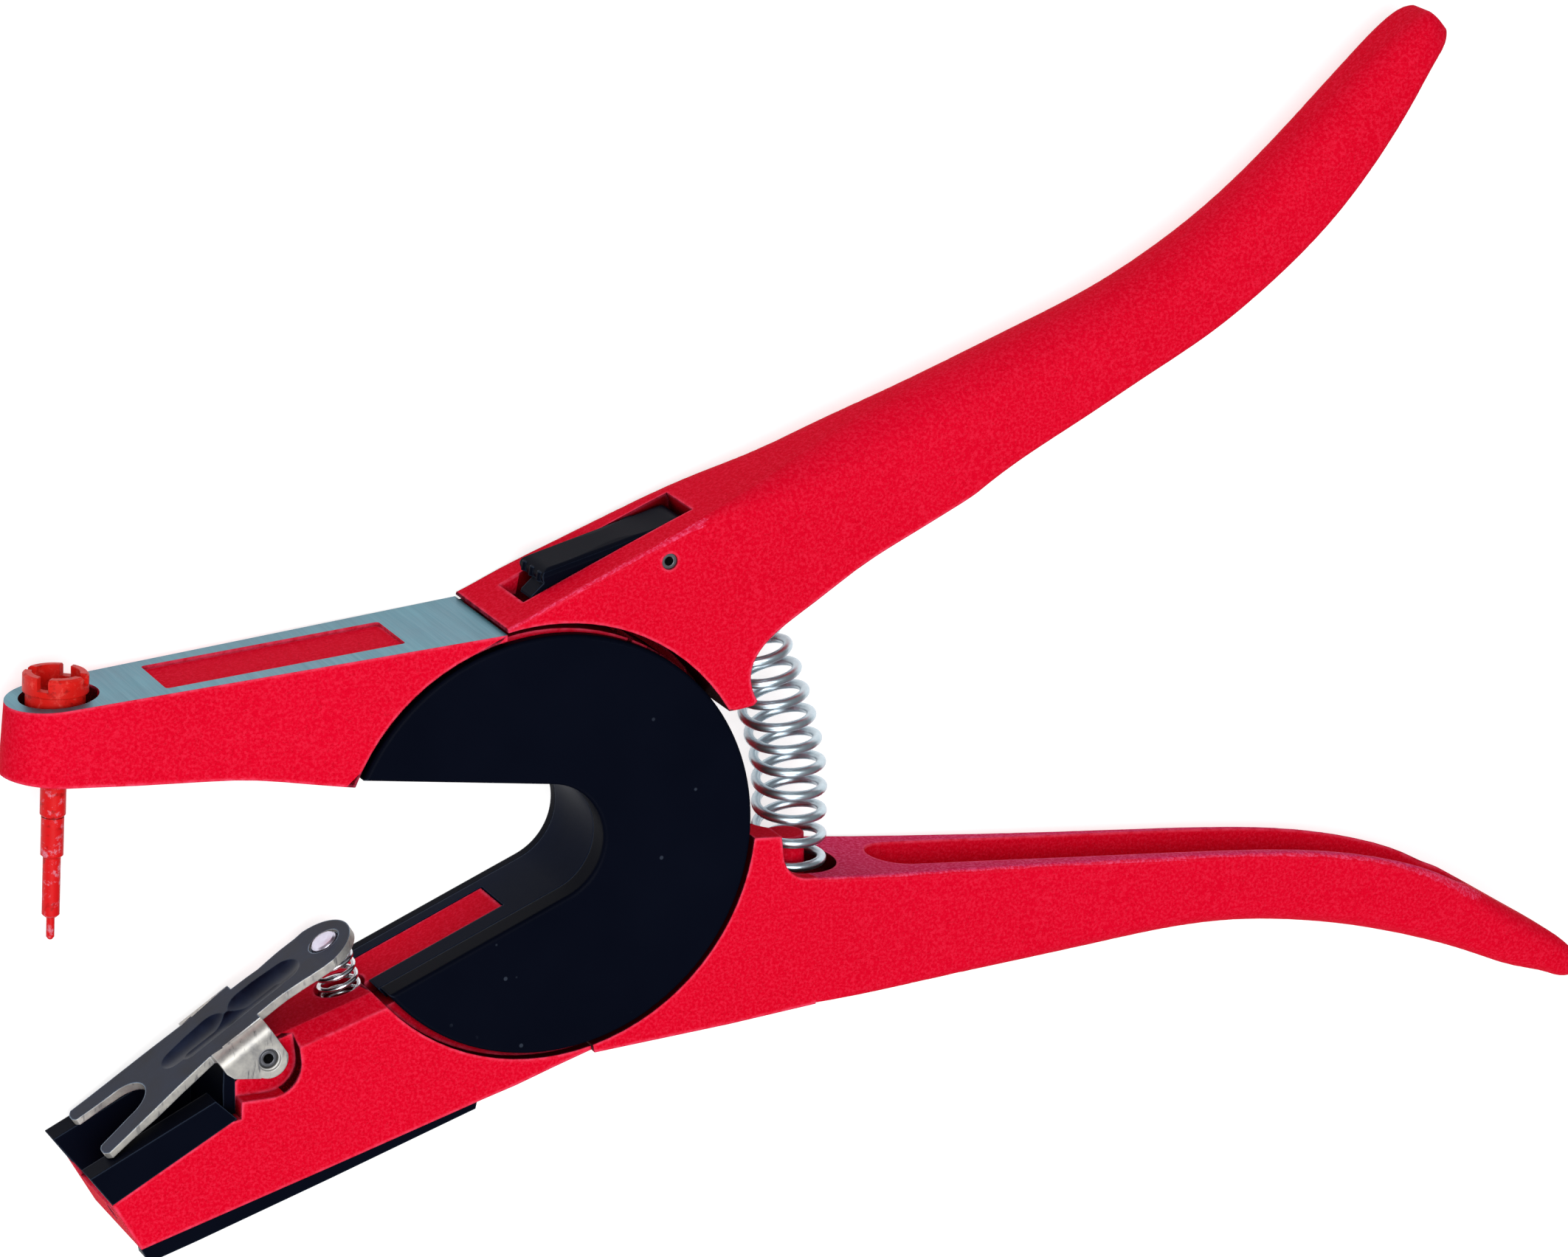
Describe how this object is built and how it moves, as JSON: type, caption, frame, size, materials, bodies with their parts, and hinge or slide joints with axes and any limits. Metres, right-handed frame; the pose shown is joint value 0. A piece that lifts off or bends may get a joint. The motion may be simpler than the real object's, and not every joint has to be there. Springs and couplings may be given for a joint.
{
  "type": "ear tag applicator",
  "caption": "Crossing hand plier that pushes a tag's pin through an animal's ear: pin jaw, anvil jaw with a sprung tag clip, return spring between long handles, lock latch.",
  "frame": {"origin": "middle of the closed footprint of the tool at rest, on the surface that its far side lies on", "axes": "+X from the jaws to the handle ends, +Y from the anvil jaw to the pin jaw, +Z out of the upper side face; the handles' virtual pivot is parallel to Z"},
  "size_m": [0.267, 0.1712, 0.021],
  "materials": {
    "red_coat": "fine-grained red powder coat on die-cast aluminium, upper jaw's top face ground bare",
    "bright_steel": "turned and polished steel",
    "dark_steel": "dark blue-grey plated sheet steel with pale worn edges",
    "orange_coat": "orange-red coat, scuffed",
    "brass_insert": "turned threaded insert",
    "black_plastic": "semi-satin moulded",
    "white_bush": "natural sliding plastic",
    "zinc_spring": "bright zinc-plated spring wire"
  },
  "bodies": {
    "anvil_lever": {"anvil_lever_casting": "red_coat", "near_cover": "black_plastic", "far_cover": "black_plastic", "throat_liner": "black_plastic", "guide_pins": "bright_steel", "guide_bushes": "white_bush", "guide_retaining_clips": "dark_steel", "cover_screws": "dark_steel", "tag_rail_near": "black_plastic", "tag_rail_far": "black_plastic", "jaw_base_pad": "black_plastic", "tag_seat_back": "black_plastic", "clip_pivot_pin": "bright_steel", "latch_pivot_pin": "bright_steel", "main_spring": "zinc_spring", "clip_spring": "zinc_spring", "latch_spring": "zinc_spring"},
    "pin_lever": {"pin_lever_casting": "red_coat", "tag_pin": "orange_coat", "pin_retainer": "orange_coat", "pin_bush": "brass_insert"},
    "tag_clip": {"clip_lever": "dark_steel", "clip_rivet": "bright_steel"},
    "latch": {"latch_lever": "black_plastic"}
  },
  "joints": [
    {"name": "handle_squeeze", "type": "hinge", "parent": "anvil_lever", "child": "pin_lever", "pos_m": [-0.052, -0.029, 0.0105], "axis": [0, 0, 1], "range_deg": [0, 28], "stiffness_Nm_per_rad": 4, "springref_deg": -8.59, "deforming": ["main_spring"]},
    {"name": "clip_rock", "type": "hinge", "parent": "anvil_lever", "child": "tag_clip", "pos_m": [-0.0958, -0.0576, 0.0105], "axis": [0, 0, -1], "range_deg": [0, 10], "stiffness_Nm_per_rad": 0.25, "springref_deg": -17.19, "deforming": ["clip_spring"]},
    {"name": "latch_rock", "type": "hinge", "parent": "anvil_lever", "child": "latch", "pos_m": [-0.03265, 0.01265, 0.0105], "axis": [0, 0, 1], "range_deg": [0, 8], "stiffness_Nm_per_rad": 0.05, "springref_deg": -17.19, "deforming": ["latch_spring"]}
  ]
}
